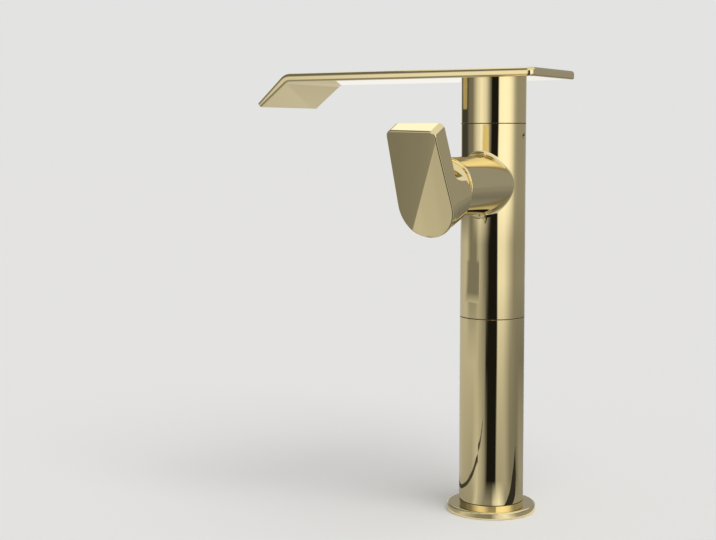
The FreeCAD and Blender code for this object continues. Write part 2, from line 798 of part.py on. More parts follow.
def make_dome():
    """Ball-shaped trim ring around the stem, centred on the lever's pivot."""
    centre = ("pivot_reach", "0", "valve_axis")
    seat = ("nut_reach", "0", "valve_axis")
    skirt_radius = "dome_seat - 2 * fit_gap"
    ball = primitive("Sphere", {"Radius": "dome_radius"}, centre)
    hollow = primitive("Sphere", {"Radius": "dome_radius - dome_wall"}, centre)
    column = primitive("Cylinder", {"Radius": skirt_radius, "Height": "dome_radius * 2"}, seat, ALONG_X)
    mouth = primitive("Cylinder", {"Radius": "dome_hole_radius", "Height": "dome_radius * 2"}, seat, ALONG_X)
    zone = join("Cut", join("Common", join("Cut", ball, [hollow]), [column]), [mouth])
    outer = primitive("Cylinder", {"Radius": skirt_radius, "Height": "rim_depth"}, seat, ALONG_X)
    inner = primitive("Cylinder", {"Radius": f"{skirt_radius} - dome_wall", "Height": "2 * rim_depth"},
                      seat, ALONG_X)
    keep(join("MultiFuse", zone, [join("Cut", outer, [inner])]), "valve_dome")


# ---------------------------------------------------------------- lever

def make_stem():
    """Square stem with a round tail and ball that pushes the sliding disc."""
    stem = lever_body("cartridge_stem")
    shank = new_sketch(stem, "YZ_Plane", "-stem_heel")
    add_square(shank, "stem_width / 2")
    extrude(stem, shank, "stem_reach + stem_heel")
    peg(stem, "YZ_Plane", ("0", "0"), "tail_radius", "-tail_length", "tail_length - stem_heel / 2")
    ball = stem.newObject("PartDesign::AdditiveSphere", "Ball")
    plane = next(f for f in stem.Origin.OriginFeatures if f.Role == "XY_Plane")
    ball.AttachmentSupport = (plane, [""])
    ball.MapMode = "FlatFace"
    bind(ball, {"Radius": "ball_radius", ".AttachmentOffset.Base.x": "-tail_length"})
    drill(stem, "XZ_Plane", ("0", "0"), "pin_radius + fit_gap", "stem_width", "2 * stem_width")


def make_lever_screws():
    half_stem = "stem_width / 2 + fit_gap"
    screw = lever_body("lever_set_screw")
    place = ("lever_screw_reach", "0")
    low = f"-({half_stem}) - lever_screw_length"
    peg(screw, "XY_Plane", place, "lever_screw_radius", low, "lever_screw_length")
    socket = new_sketch(screw, "XY_Plane", f"{low} + lever_screw_length / 2")
    reach = "lever_screw_radius / 2"
    add_polygon(socket, [
        (f"lever_screw_reach + {reach} * cos({60 * corner})", f"{reach} * sin({60 * corner})")
        for corner in range(6)
    ])
    extrude(screw, socket, "lever_screw_length / 2", cut=True)
    plug = lever_body("lever_screw_plug")
    peg(plug, "XY_Plane", place, "plug_radius - fit_gap", "plug_floor - plug_depth", "plug_depth")


def point(x, y, z):
    return FreeCAD.Vector(x, y, z)


def handle_outline(size, station, inset, top, top_width):
    """Half ellipse with straight sides running tangent to it up to a flat top."""
    half = size["paddle_width"] / 2 - inset
    tall = size["paddle_end_height"] - inset
    centre = point(station, 0, size["paddle_end_centre"])
    right, up = top_width / 2 / half, (top - centre.z) / tall
    lean = math.atan2(up, right) - math.acos(1 / math.hypot(up, right))
    ellipse = Part.Ellipse(centre - point(0, 0, tall), centre + point(0, half, 0), centre)
    arc = Part.ArcOfEllipse(ellipse, -math.pi / 2 - lean, math.pi / 2 + lean)
    top_left, top_right = point(station, -top_width / 2, top), point(station, top_width / 2, top)
    return Part.Wire([
        arc.toShape(),
        Part.LineSegment(arc.EndPoint, top_right).toShape(),
        Part.LineSegment(top_right, top_left).toShape(),
        Part.LineSegment(top_left, arc.StartPoint).toShape(),
    ])


def rounded(solid, radius, wanted):
    """Part fillet of the edges that pass a test."""
    return solid.makeFillet(radius, [edge for edge in solid.Edges if wanted(edge, solid)]).Solids[0]


def make_paddle(size):
    """Flat slab with the handle's outline and two facets in front, its rims rounded."""
    top = size["paddle_top"]
    back = size["handle_front"] - size["paddle_thickness"]
    outline = handle_outline(size, back, 0, top, size["paddle_top_width"])
    depth = size["paddle_thickness"] + 3 * size["ridge_rise"]
    slab = rounded(Part.Face(outline).extrude(point(depth, 0, 0)), size["paddle_corner"], is_top_corner)
    slab = slab.common(facet_tent(size)).Solids[0]
    slab = rounded(slab, size["ridge_round"], is_ridge)
    return rounded(slab, size["paddle_edge"], is_paddle_rim)


def edge_normals(edge, shape):
    return [face_normal(face) for face in shape.ancestorsOfType(edge, Part.Face)]


def is_top_corner(edge, shape):
    """The slab's two upright edges between its flat top and its sides."""
    along_x = edge.BoundBox.YLength < 1e-6 and edge.BoundBox.ZLength < 1e-6
    return along_x and any(n.z > 0.99 for n in edge_normals(edge, shape))


def is_ridge(edge, shape):
    return all(n.x > 0.9 for n in edge_normals(edge, shape))


def is_paddle_rim(edge, shape):
    """Edges between the paddle's front facets or flat back and its sides."""
    normals = edge_normals(edge, shape)
    return any(abs(n.x) > 0.9 for n in normals) and any(abs(n.x) < 0.1 for n in normals)


def facet_tent(size):
    """A ridged block that leaves two facets on the paddle's front, along a slanting ridge."""
    crest = size["handle_front"] + size["ridge_rise"]
    top = point(crest, size["ridge_top_offset"], size["ridge_top_height"])
    low = point(crest, size["ridge_low_offset"], size["ridge_low_height"])
    along = (top - low).normalize()
    across = along.cross(point(1, 0, 0))
    reach = 2 * size["paddle_top"]
    drop = reach * math.tan(math.radians(size["facet_angle"]))
    start = low - along * reach
    section = [start, start + across * reach - point(drop, 0, 0),
               start + across * reach - point(reach, 0, 0),
               start - across * reach - point(reach, 0, 0),
               start - across * reach - point(drop, 0, 0)]
    return Part.Face(Part.makePolygon(section + section[:1])).extrude(along * (3 * reach))


def make_hub(size, start):
    """Loft from the round hub to a section just inside the paddle's outline."""
    radius = size["valve_diameter"] / 2
    inset = size["neck_inset"]
    front = handle_outline(size, size["handle_front"] - size["neck_bury"], inset, size["neck_top"],
                           size["paddle_width"] - 4 * inset)

    def on_circle(degrees):
        angle = math.radians(degrees)
        return point(start, radius * math.cos(angle), radius * math.sin(angle))

    stops = ((180, 270, 360), (0, 25, 50), (50, 90, 130), (130, 155, 180))
    rear = [Part.Arc(*(on_circle(stop) for stop in arc)).toShape() for arc in stops]
    return Part.makeLoft([Part.Wire(rear), front], True, True)


def rear_wedge(size, start):
    """What is cut off the hub's rear below the middle, so that it clears the housing when open."""
    tilt = math.radians(size["open_angle"])
    side, far = size["paddle_width"], 2 * size["valve_diameter"]
    bend = point(start, -side, start * math.tan(tilt / 2))
    behind = start / 2
    corners = [bend, bend + point(math.sin(tilt), 0, -math.cos(tilt)) * far,
               point(behind, -side, -far), point(behind, -side, bend.z), bend]
    return Part.Face(Part.makePolygon(corners)).extrude(point(0, 2 * side, 0))


def make_handle():
    size = {alias: number(alias) for alias in (*SIZES, *FOLLOWING)}
    start = size["valve_reach"] + size["handle_gap"] - size["pivot_reach"]
    handle = make_paddle(size).fuse(make_hub(size, start)).cut(rear_wedge(size, start))
    handle = handle.cut(Part.makeSphere(size["dome_radius"] + size["dome_gap"]))

    half = size["stem_width"] / 2 + size["fit_gap"]
    socket = Part.makeBox(size["stem_reach"] + size["dome_gap"] - start, 2 * half, 2 * half,
                          point(start, -half, -half))
    up = point(0, 0, 1)
    station = size["lever_screw_reach"]
    floor = point(station, 0, size["plug_floor"])
    screw_way = Part.makeCylinder(size["lever_screw_radius"] + size["fit_gap"], -floor.z, floor, up)
    plug_way = Part.makeCylinder(size["plug_radius"], size["valve_diameter"], floor, -up)
    handle = handle.cut(socket).cut(screw_way).cut(plug_way)

    lever = keep(doc.addObject("Part::Feature", "lever_handle"), "lever_handle")
    lever.Shape = handle.Solids[0]
    tilt_open(lever)


# ---------------------------------------------------------------- document

make_base()
make_column()
make_deck_fixing()
make_valve_body()
make_body_ring()
make_neck()
make_spout()
make_cartridge_base()
make_fixed_disc()
make_sliding_pieces()
make_shell()
make_carrier()
make_retaining_nut()
make_dome()
make_stem()
make_lever_screws()
make_handle()
doc.recompute()

for thing in doc.Objects:
    if "Invalid" in thing.State or "Error" in thing.State:
        raise RuntimeError(f"{thing.Label} failed: {thing.State}")
    if thing.TypeId == "PartDesign::Pocket":
        if thing.Shape.Volume > thing.BaseFeature.Shape.Volume - 1e-3:
            raise RuntimeError(f"{thing.Label} cuts nothing")
for node in nodes:
    if node.Shape.isNull() or not node.Shape.isValid():
        raise RuntimeError(f"{node.Label} has no valid shape")

os.makedirs("parts", exist_ok=True)
for node in nodes:
    node.Shape.exportStep(f"parts/{node.Label}.step")
    box = node.Shape.BoundBox
    print(f"{node.Label:22s} {len(node.Shape.Solids)} solid  {node.Shape.Volume / 1000:8.2f} cm3  "
          f"x {box.XMin:7.2f} {box.XMax:7.2f}  y {box.YMin:7.2f} {box.YMax:7.2f}  "
          f"z {box.ZMin:7.2f} {box.ZMax:7.2f}")
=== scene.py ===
# %% [markdown]
# # A tall waterfall basin faucet
# The real object is a round column with a lever on a side housing and a flat, folded spout,
# all of it brass with a polished, pale gold coat. Its solids come from a CAD model. This
# lesson loads them as a fixed frame, then gives them light, finish and fine shape.

import json
import math

import bpy
from mathutils import Matrix, Vector

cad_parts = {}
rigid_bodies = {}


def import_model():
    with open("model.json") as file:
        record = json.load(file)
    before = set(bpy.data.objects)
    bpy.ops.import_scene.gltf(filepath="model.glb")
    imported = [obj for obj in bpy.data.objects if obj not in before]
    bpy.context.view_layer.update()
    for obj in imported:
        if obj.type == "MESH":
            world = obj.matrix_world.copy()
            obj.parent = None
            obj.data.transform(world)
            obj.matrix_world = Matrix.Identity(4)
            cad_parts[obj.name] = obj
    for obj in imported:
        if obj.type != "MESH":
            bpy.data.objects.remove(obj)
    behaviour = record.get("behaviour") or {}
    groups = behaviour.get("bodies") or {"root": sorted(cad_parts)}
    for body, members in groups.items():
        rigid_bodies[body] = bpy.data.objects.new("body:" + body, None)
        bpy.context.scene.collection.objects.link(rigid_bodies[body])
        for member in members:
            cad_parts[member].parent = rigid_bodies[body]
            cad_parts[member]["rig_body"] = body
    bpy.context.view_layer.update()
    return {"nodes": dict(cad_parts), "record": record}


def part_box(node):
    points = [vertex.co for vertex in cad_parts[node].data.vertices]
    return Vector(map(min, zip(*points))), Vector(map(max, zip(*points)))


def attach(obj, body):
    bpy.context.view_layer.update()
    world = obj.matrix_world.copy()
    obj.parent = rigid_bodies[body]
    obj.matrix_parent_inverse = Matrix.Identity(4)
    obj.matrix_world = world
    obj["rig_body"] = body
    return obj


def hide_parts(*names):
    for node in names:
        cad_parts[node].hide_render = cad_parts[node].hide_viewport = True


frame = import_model()
nodes = frame["nodes"]
MM = 0.001

# %% [markdown]
# ## Camera
# The camera stands a little lower than the spout and looks slightly down. It could be aimed
# with a constraint, but a constraint can't roll it. Here its three axes come from one heading
# and two small angles, and the matrix is made from them.

# %% Camera
HEADING = Vector((-0.8689, -0.4950, 0))
PITCH, ROLL = math.radians(5.676), math.radians(-0.146)
CAMERA_PLACE = Vector((0.866045, 0.385539, 0.263559))
LENS, SENSOR = 68.424, 36.0

forward = HEADING * math.cos(PITCH) - Vector((0, 0, math.sin(PITCH)))
sideways = Vector((HEADING.y, -HEADING.x, 0))
upward = sideways.cross(forward)
right = sideways * math.cos(ROLL) + upward * math.sin(ROLL)
up = upward * math.cos(ROLL) - sideways * math.sin(ROLL)

camera_data = bpy.data.cameras.new("camera")
camera_data.lens, camera_data.sensor_width = LENS, SENSOR
camera_data.sensor_fit = "HORIZONTAL"
camera = bpy.data.objects.new("camera", camera_data)
camera.matrix_world = Matrix.Translation(CAMERA_PLACE) @ Matrix(
    (right, up, -forward)).transposed().to_4x4()
bpy.context.collection.objects.link(camera)
bpy.context.scene.camera = camera
bpy.context.scene.view_settings.view_transform = "Standard"
print("camera looks along", [round(c, 3) for c in forward])

# %% [markdown]
# ## Helpers
# Materials and geometry trees are graphs of nodes, built here in code. These helpers keep
# that short: one adds a node and sets its properties and inputs, one links pairs of sockets.

# %% Helpers
def add_node(tree, kind, inputs=(), **settings):
    node = tree.nodes.new(kind)
    for name, setting in settings.items():
        setattr(node, name, setting)
    for name, setting in dict(inputs).items():
        node.inputs[name].default_value = setting
    return node


def wire(tree, *pairs):
    for start, end in pairs:
        tree.links.new(start, end)


def link_object(name, mesh, material=None):
    thing = bpy.data.objects.new(name, mesh)
    bpy.context.collection.objects.link(thing)
    if material:
        mesh.materials.clear()
        mesh.materials.append(material)
    return thing

# %% [markdown]
# ## Stage cards
# A mirror finish shows the room, so the room is most of its look. A photograph of a room could
# light it, but plain cards are clearer, as in a product studio: bright panels, grey fills and
# black flags all round, which give a round column its upright bands. Only reflections see
# them: the camera sees a plain pale floor and a plain background. A card here is a strip about
# the column, and each of its edges changes its brightness evenly between a few headings.

# %% Card maker
FLOOR_HEIGHT = -0.0002
CAMERA_SIDE = math.degrees(math.atan2(CAMERA_PLACE.y, CAMERA_PLACE.x))
CARD_STEP = 3.0

glow = bpy.data.materials.new("glowing_card")
glow.use_nodes = True
glow.node_tree.nodes.clear()
brightness = add_node(glow.node_tree, "ShaderNodeAttribute", attribute_name="brightness")
emitter = add_node(glow.node_tree, "ShaderNodeEmission")
wire(glow.node_tree, (brightness.outputs["Fac"], emitter.inputs["Strength"]),
     (emitter.outputs[0], add_node(glow.node_tree, "ShaderNodeOutputMaterial").inputs[0]))


def level_at(stops, heading):
    """Brightness between the stops (heading, brightness) on either side."""
    for (start, first), (end, following) in zip(stops, stops[1:]):
        if start <= heading <= end:
            return first + (following - first) * (heading - start) / (end - start)
    return stops[-1][1]


def place_of(heading, reach, height):
    """Headings are degrees from the camera's side of the column, positive to the image's right."""
    angle = math.radians(CAMERA_SIDE + heading)
    return reach * math.cos(angle), reach * math.sin(angle), height


def make_card(name, corners, levels, width):
    """Faces between rows of corners, each row width corners long."""
    faces = [(i, i + 1, i + 1 + width, i + width)
             for i in range(len(corners) - width) if (i + 1) % width]
    mesh = bpy.data.meshes.new(name)
    mesh.from_pydata(corners, [], faces)
    mesh.attributes.new("brightness", "FLOAT", "POINT").data.foreach_set("value", levels)
    panel = link_object(name, mesh, glow)
    for kind in ("camera", "diffuse", "shadow", "transmission", "volume_scatter"):
        setattr(panel, "visible_" + kind, False)


def card(name, *edges):
    """A strip about the column through edges of (reach, height, stops)."""
    headings = {heading for edge in edges for heading, level in edge[2]}
    first, last = min(headings), max(headings)
    headings |= {first + CARD_STEP * i for i in range(int((last - first) / CARD_STEP) + 1)}
    corners, levels = [], []
    for reach, height, stops in edges:
        for heading in sorted(headings):
            corners.append(place_of(heading, reach, height))
            levels.append(level_at(stops, heading))
    make_card(name, corners, levels, len(headings))


def patch_card(name, height, level, *borders):
    """A plain patch between borders, each a row of as many points (heading, reach)."""
    corners = [place_of(heading, reach, height) for border in borders for heading, reach in border]
    make_card(name, corners, [level] * len(corners), len(borders[0]))


print("the camera stands at", round(CAMERA_SIDE, 1), "degrees about the column")

# %% [markdown]
# ## Panels and flags
# A black flag stands where the camera is, with a bright panel on either side of it: they make
# the column's dark band and its two highlights. Behind the column the fills are grey, and the
# roof is shaded only on the spout's side, which draws the thin dark line along the plate's
# upper edge.

# %% Wall and roof
WALL_REACH, LOW_STEP, BACK_STEP, BACK_TOP, HIGH_STEP, WALL_TOP = 2.4, 0.12, 0.45, 0.60, 0.80, 1.4
BLACK, DIM, SHADE, GREY, WHITE = 0.01, 0.05, 0.15, 0.30, 1.05
LEFT_PANEL = ((-144, DIM), (-106, DIM), (-92, 0.17), (-78, 0.18), (-54, 0.80), (-42, 0.95),
              (-26, 0.75), (-12, 0.22), (-5, BLACK))
RIGHT_PANEL = ((16, BLACK), (20, WHITE), (40, 1.15), (58, WHITE), (68, 0.85), (80, 0.45),
               (92, GREY))
far_floor = ((-180, 0.75), (-150, 0.45), (-104, 0.52), (-86, 0.20), (-62, 0.20), (-48, 0.50),
             (-24, 0.17), (-12, BLACK), (16, BLACK), (20, 0.88), (42, 0.85), (66, 0.45),
             (82, 0.26), (150, 0.26), (180, 0.75))
low_wall = ((-180, 0.95), (-164, 0.90), (-150, 0.50), *LEFT_PANEL, *RIGHT_PANEL, (150, GREY),
            (180, 0.95))
middle_wall = ((-180, GREY), (-150, GREY), *LEFT_PANEL, *RIGHT_PANEL, (180, GREY))
high_wall = ((-180, GREY), (-60, GREY), (-34, 0.80), (40, WHITE), (68, 0.85), (92, GREY),
             (180, GREY))
card("wall_card", (WALL_REACH, 0.0, far_floor), (WALL_REACH, LOW_STEP, low_wall),
     (WALL_REACH, BACK_STEP, low_wall), (WALL_REACH, BACK_TOP, middle_wall),
     (WALL_REACH, HIGH_STEP, high_wall), (WALL_REACH, WALL_TOP, high_wall))

EAVE_GAP, EAVE_HEIGHT, ROOF_REACH, ROOF_HEIGHT = 0.02, 1.2, 0.9, 1.9
BACK_ROOF_REACH, BACK_ROOF_HEIGHT, BACK_ROOF_LEVEL = 1.6, 2.8, 1.15
shaded_roof = ((-150, SHADE), (-30, SHADE))
card("roof_card", (WALL_REACH - EAVE_GAP, EAVE_HEIGHT, shaded_roof),
     (WALL_REACH, WALL_TOP, shaded_roof), (ROOF_REACH, ROOF_HEIGHT, shaded_roof))
bright_roof = ((-180, BACK_ROOF_LEVEL), (-152, BACK_ROOF_LEVEL))
card("back_roof_card", (WALL_REACH, ROOF_HEIGHT, bright_roof),
     (BACK_ROOF_REACH, BACK_ROOF_HEIGHT, bright_roof))
print("wall at", WALL_REACH, "m, roof up to", BACK_ROOF_HEIGHT, "m")

# %% [markdown]
# ## Floor in the reflections
# The lower column reflects the floor, nearer and nearer towards its foot. So the floor has
# rings of its own levels, from the flange outwards. A thin dark line and a dark wedge close to
# the foot bend into crisp curves there, as straight edges do in a round mirror. A dim shelf
# under the lever gives its left facet a deeper tone than its right one.

# %% Floor cards
FOOT_REACH, FOOT_END, FOOT_RING, MIDDLE_RING, FAR_RING = 0.034, 0.06, 0.12, 0.65, 1.5
OVERLAY, WEDGE_LEVEL = -FLOOR_HEIGHT, 0.03
near_floor = ((-180, 0.28), (-60, 0.35), (-48, 0.60), (-22, 0.26), (0, 0.22), (9, 0.70),
              (24, 0.95), (44, 0.30), (180, 0.28))
foot_floor = ((-180, 0.50), (-72, 0.36), (-48, 0.60), (-24, 0.28), (-14, BLACK), (13, BLACK),
              (17, 0.38), (46, 0.40), (66, 0.20), (96, 0.18), (112, 0.32), (180, 0.30))
middle_floor = ((-180, 0.60), (-150, 0.48), (-58, 0.52), (-36, 0.34), (-26, 0.28), (-20, BLACK),
                (16, BLACK), (20, 0.63), (38, 0.58), (66, 0.27), (96, 0.20), (150, 0.18),
                (180, 0.60))
card("floor_card", (FOOT_REACH, 0.0, near_floor), (FOOT_END, 0.0, near_floor),
     (FOOT_RING, 0.0, foot_floor), (MIDDLE_RING, 0.0, middle_floor), (FAR_RING, 0.0, far_floor),
     (WALL_REACH, 0.0, far_floor))
patch_card("foot_line_card", OVERLAY, DIM,
           ((-160, 0.080), (-130, 0.070), (-100, 0.082), (-75, 0.108), (-52, 0.165),
            (-38, 0.240), (-30, 0.33)),
           ((-160, 0.092), (-130, 0.083), (-100, 0.096), (-75, 0.128), (-52, 0.195),
            (-38, 0.270), (-30, 0.35)))
patch_card("foot_wedge_card", OVERLAY, WEDGE_LEVEL,
           ((31, 0.045), (54, 0.070), (75, 0.130), (90, 0.220)),
           ((62, 0.045), (84, 0.070), (93, 0.130), (92, 0.225)))
print("floor rings from", FOOT_REACH, "to", WALL_REACH, "m")

# %% Card under the lever
SHELF_HEIGHT, SHELF_RIM, SHELF_START, SHELF_END = 0.14, 0.09, 0.15, 0.42
shelf = ((-104, 0.45), (-90, 0.20), (-54, 0.20), (-46, 0.24), (-41, 0.50))
shelf_rim = ((-104, 0.45), (-41, 0.50))
card("shelf_card", (SHELF_RIM, SHELF_HEIGHT, shelf_rim), (SHELF_START, SHELF_HEIGHT, shelf),
     (SHELF_END, SHELF_HEIGHT, shelf))

# %% [markdown]
# ## Floor, world and lamps
# The object stands on a wide pale floor that catches its soft shadow. The world is plain: the
# camera sees it nearly white, and its lower level lights the object, together with one
# wide, soft sun, so that a colour renders about as it is written.

# %% Floor
FLOOR_HALF, FLOOR_COLOUR, FLOOR_ROUGHNESS = 8.0, (0.88, 0.875, 0.865, 1), 0.6
floor_mesh = bpy.data.meshes.new("floor")
floor_mesh.from_pydata([(x * FLOOR_HALF, y * FLOOR_HALF, FLOOR_HEIGHT)
                        for x, y in ((-1, -1), (1, -1), (1, 1), (-1, 1))], [], [(0, 1, 2, 3)])
floor_material = bpy.data.materials.new("floor")
floor_material.use_nodes = True
floor_shader = floor_material.node_tree.nodes["Principled BSDF"]
floor_shader.inputs["Base Color"].default_value = FLOOR_COLOUR
floor_shader.inputs["Roughness"].default_value = FLOOR_ROUGHNESS
floor_shader.inputs["Specular IOR Level"].default_value = 0.0
link_object("floor", floor_mesh, floor_material)
print("floor", 2 * FLOOR_HALF, "m wide")

# %% World and lamps
WORLD_LIGHT, WORLD_BACKDROP, BACKDROP_TINT = 0.464, 0.768, (1, 1, 0.992, 1)
SUN_STRENGTH, SUN_WIDTH, SUN_PLACE = 1.5, math.radians(50), Vector((0.45, 0.75, 1.5))

world = bpy.data.worlds.new("studio")
bpy.context.scene.world = world
world.use_nodes = True
world.node_tree.nodes.clear()
path = add_node(world.node_tree, "ShaderNodeLightPath")
seen = add_node(world.node_tree, "ShaderNodeMath", operation="MAXIMUM")
lighting = add_node(world.node_tree, "ShaderNodeBackground",
                    {"Color": (1, 1, 1, 1), "Strength": WORLD_LIGHT})
backdrop = add_node(world.node_tree, "ShaderNodeBackground",
                    {"Color": BACKDROP_TINT, "Strength": WORLD_BACKDROP})
pick = add_node(world.node_tree, "ShaderNodeMixShader")
wire(world.node_tree, (path.outputs["Is Camera Ray"], seen.inputs[0]),
     (path.outputs["Is Glossy Ray"], seen.inputs[1]), (seen.outputs[0], pick.inputs[0]),
     (lighting.outputs[0], pick.inputs[1]), (backdrop.outputs[0], pick.inputs[2]),
     (pick.outputs[0], add_node(world.node_tree, "ShaderNodeOutputWorld").inputs["Surface"]))

sun_data = bpy.data.lights.new("soft_sun", "SUN")
sun_data.energy, sun_data.angle = SUN_STRENGTH, SUN_WIDTH
sun = bpy.data.objects.new("soft_sun", sun_data)
sun.matrix_world = SUN_PLACE.to_track_quat("Z", "Y").to_matrix().to_4x4()
sun.visible_glossy = False
bpy.context.collection.objects.link(sun)
print("world", WORLD_LIGHT, "sun", SUN_STRENGTH)

# %% [markdown]
# ## Shared effects
# Several finishes need the same small faults and marks, so each effect is one node group with named
# inputs, placed in a material with its own values. `fine_marks` makes hairlines and a
# faint waviness as a bump, and lets the roughness drift. `tint_drift` shifts a colour a
# little from place to place. `turning_lines` cuts the rings a lathe leaves. The last group
# finds the thin lines where the column's pieces meet, for painted shade and a duller roughness.

# %% Node groups
def new_group(name, inputs, outputs):
    group = bpy.data.node_groups.new(name, "ShaderNodeTree")
    for label, kind, preset in inputs:
        socket = group.interface.new_socket(label, in_out="INPUT", socket_type="NodeSocket" + kind)
        if preset is not None:
            socket.default_value = preset
    for label, kind in outputs:
        group.interface.new_socket(label, in_out="OUTPUT", socket_type="NodeSocket" + kind)
    return group, add_node(group, "NodeGroupInput"), add_node(group, "NodeGroupOutput")


def blend_of(tree, share, low, high):
    """Map a 0..1 value to the range between two sockets."""
    node = add_node(tree, "ShaderNodeMapRange")
    wire(tree, (share, node.inputs["Value"]), (low, node.inputs["To Min"]),
         (high, node.inputs["To Max"]))
    return node.outputs["Result"]


marks, marks_in, marks_out = new_group("fine_marks", (
    ("Hairlines per metre", "Float", 9000.0), ("Waves per metre", "Float", 260.0),
    ("Hairline depth", "Float", 0.02), ("Wave depth", "Float", 0.02),
    ("Low roughness", "Float", 0.04), ("High roughness", "Float", 0.09),
), (("Roughness", "Float"), ("Height", "Float")))
mark_place = add_node(marks, "ShaderNodeTexCoord").outputs["Object"]
stretch = add_node(marks, "ShaderNodeMapping",
                   {"Rotation": (0.4, 0.7, 0.2), "Scale": (1, 1, 0.06)})
hair = add_node(marks, "ShaderNodeTexNoise", {"Detail": 2.0, "Roughness": 0.6})
wave = add_node(marks, "ShaderNodeTexNoise", {"Detail": 1.0, "Roughness": 0.4})
drift = add_node(marks, "ShaderNodeTexNoise", {"Scale": 38.0, "Detail": 4.0, "Roughness": 0.62})
hair_height = add_node(marks, "ShaderNodeMath", operation="MULTIPLY")
mark_height = add_node(marks, "ShaderNodeMath", operation="MULTIPLY_ADD")
wire(marks, (mark_place, stretch.inputs["Vector"]), (stretch.outputs[0], hair.inputs["Vector"]),
     (mark_place, wave.inputs["Vector"]), (mark_place, drift.inputs["Vector"]),
     (marks_in.outputs["Hairlines per metre"], hair.inputs["Scale"]),
     (marks_in.outputs["Waves per metre"], wave.inputs["Scale"]),
     (hair.outputs["Fac"], hair_height.inputs[0]),
     (marks_in.outputs["Hairline depth"], hair_height.inputs[1]),
     (wave.outputs["Fac"], mark_height.inputs[0]),
     (marks_in.outputs["Wave depth"], mark_height.inputs[1]),
     (hair_height.outputs[0], mark_height.inputs[2]),
     (mark_height.outputs[0], marks_out.inputs["Height"]),
     (blend_of(marks, drift.outputs["Fac"], marks_in.outputs["Low roughness"],
               marks_in.outputs["High roughness"]), marks_out.inputs["Roughness"]))

tint, tint_in, tint_out = new_group("tint_drift", (
    ("Colour", "Color", None), ("Other colour", "Color", None), ("Patches per metre", "Float", 30.0),
), (("Colour", "Color"),))
blotches = add_node(tint, "ShaderNodeTexNoise", {"Detail": 3.0, "Roughness": 0.55})
shift = add_node(tint, "ShaderNodeMix", data_type="RGBA")
wire(tint, (add_node(tint, "ShaderNodeTexCoord").outputs["Object"], blotches.inputs["Vector"]),
     (tint_in.outputs["Patches per metre"], blotches.inputs["Scale"]),
     (blotches.outputs["Fac"], shift.inputs["Factor"]),
     (tint_in.outputs["Colour"], shift.inputs["A"]),
     (tint_in.outputs["Other colour"], shift.inputs["B"]),
     (shift.outputs["Result"], tint_out.inputs["Colour"]))

rings, rings_in, rings_out = new_group("turning_lines", (
    ("Lines per metre", "Float", 2500.0), ("Waver", "Float", 0.4),
), (("Height", "Float"),))
groove = add_node(rings, "ShaderNodeTexWave", {"Detail": 2.0, "Detail Scale": 3.0},
                  wave_type="BANDS", bands_direction="Z", wave_profile="SAW")
wire(rings, (add_node(rings, "ShaderNodeTexCoord").outputs["Object"], groove.inputs["Vector"]),
     (rings_in.outputs["Lines per metre"], groove.inputs["Scale"]),
     (rings_in.outputs["Waver"], groove.inputs["Distortion"]),
     (groove.outputs["Fac"], rings_out.inputs["Height"]))

# The joint group's mask picks thin lines at the column's joints, where the gold gets painted shade.
joint_shade, joint_shade_in, joint_shade_out = new_group("painted_joint_shade", (
    ("First joint", "Float", 0.0), ("Second joint", "Float", 0.0), ("Third joint", "Float", 0.0),
    ("Half width", "Float", 0.0003),
), (("Mask", "Float"),))
joint_shade_place = add_node(joint_shade, "ShaderNodeSeparateXYZ")
wire(joint_shade, (add_node(joint_shade, "ShaderNodeTexCoord").outputs["Object"], joint_shade_place.inputs[0]))
masks = []
for joint in ("First joint", "Second joint", "Third joint"):
    near_joint = add_node(joint_shade, "ShaderNodeMath", operation="COMPARE")
    wire(joint_shade, (joint_shade_place.outputs["Z"], near_joint.inputs[0]),
         (joint_shade_in.outputs[joint], near_joint.inputs[1]),
         (joint_shade_in.outputs["Half width"], near_joint.inputs[2]))
    masks.append(near_joint.outputs[0])
either = add_node(joint_shade, "ShaderNodeMath", operation="MAXIMUM")
anywhere = add_node(joint_shade, "ShaderNodeMath", operation="MAXIMUM")
wire(joint_shade, (masks[0], either.inputs[0]), (masks[1], either.inputs[1]),
     (masks[2], anywhere.inputs[0]), (either.outputs[0], anywhere.inputs[1]),
     (anywhere.outputs[0], joint_shade_out.inputs["Mask"]))
print("node groups", [g.name for g in bpy.data.node_groups])

# %% [markdown]
# ## Finishes
# Every finish is one Principled shader. Gold is a metal, so its colour is its reflection, and
# the Fresnel effect in the shader turns it paler at a low angle, as on the real spout's
# underside. The recipes below hold what tells one finish from another, and the column's
# own gold has painted shade in its joints, with a duller roughness there.

# %% Materials
def set_group(node, values):
    for name, setting in values.items():
        node.inputs[name].default_value = setting
    return node


def mix_by_mask(tree, share, bare_source, masked_value, socket):
    """Mix a socket's source with a plain value by a mask: painted shade in colour, duller roughness.
    """
    mixed = add_node(tree, "ShaderNodeMix",
                     data_type="RGBA" if isinstance(masked_value, tuple) else "FLOAT")
    first, second = [s for s in mixed.inputs if s.enabled and s.name in "AB"]
    second.default_value = masked_value
    factor = next(s for s in mixed.inputs if s.enabled and s.name == "Factor")
    wire(tree, (share, factor), (bare_source, first),
         (next(s for s in mixed.outputs if s.enabled), socket))


# Painted shade for the column's joints: a dark colour, with a duller roughness.
JOINT_SHADE_COLOUR, JOINT_ROUGHNESS, RELIEF_DEPTH = (0.22, 0.18, 0.11, 1), 0.5, 0.0002


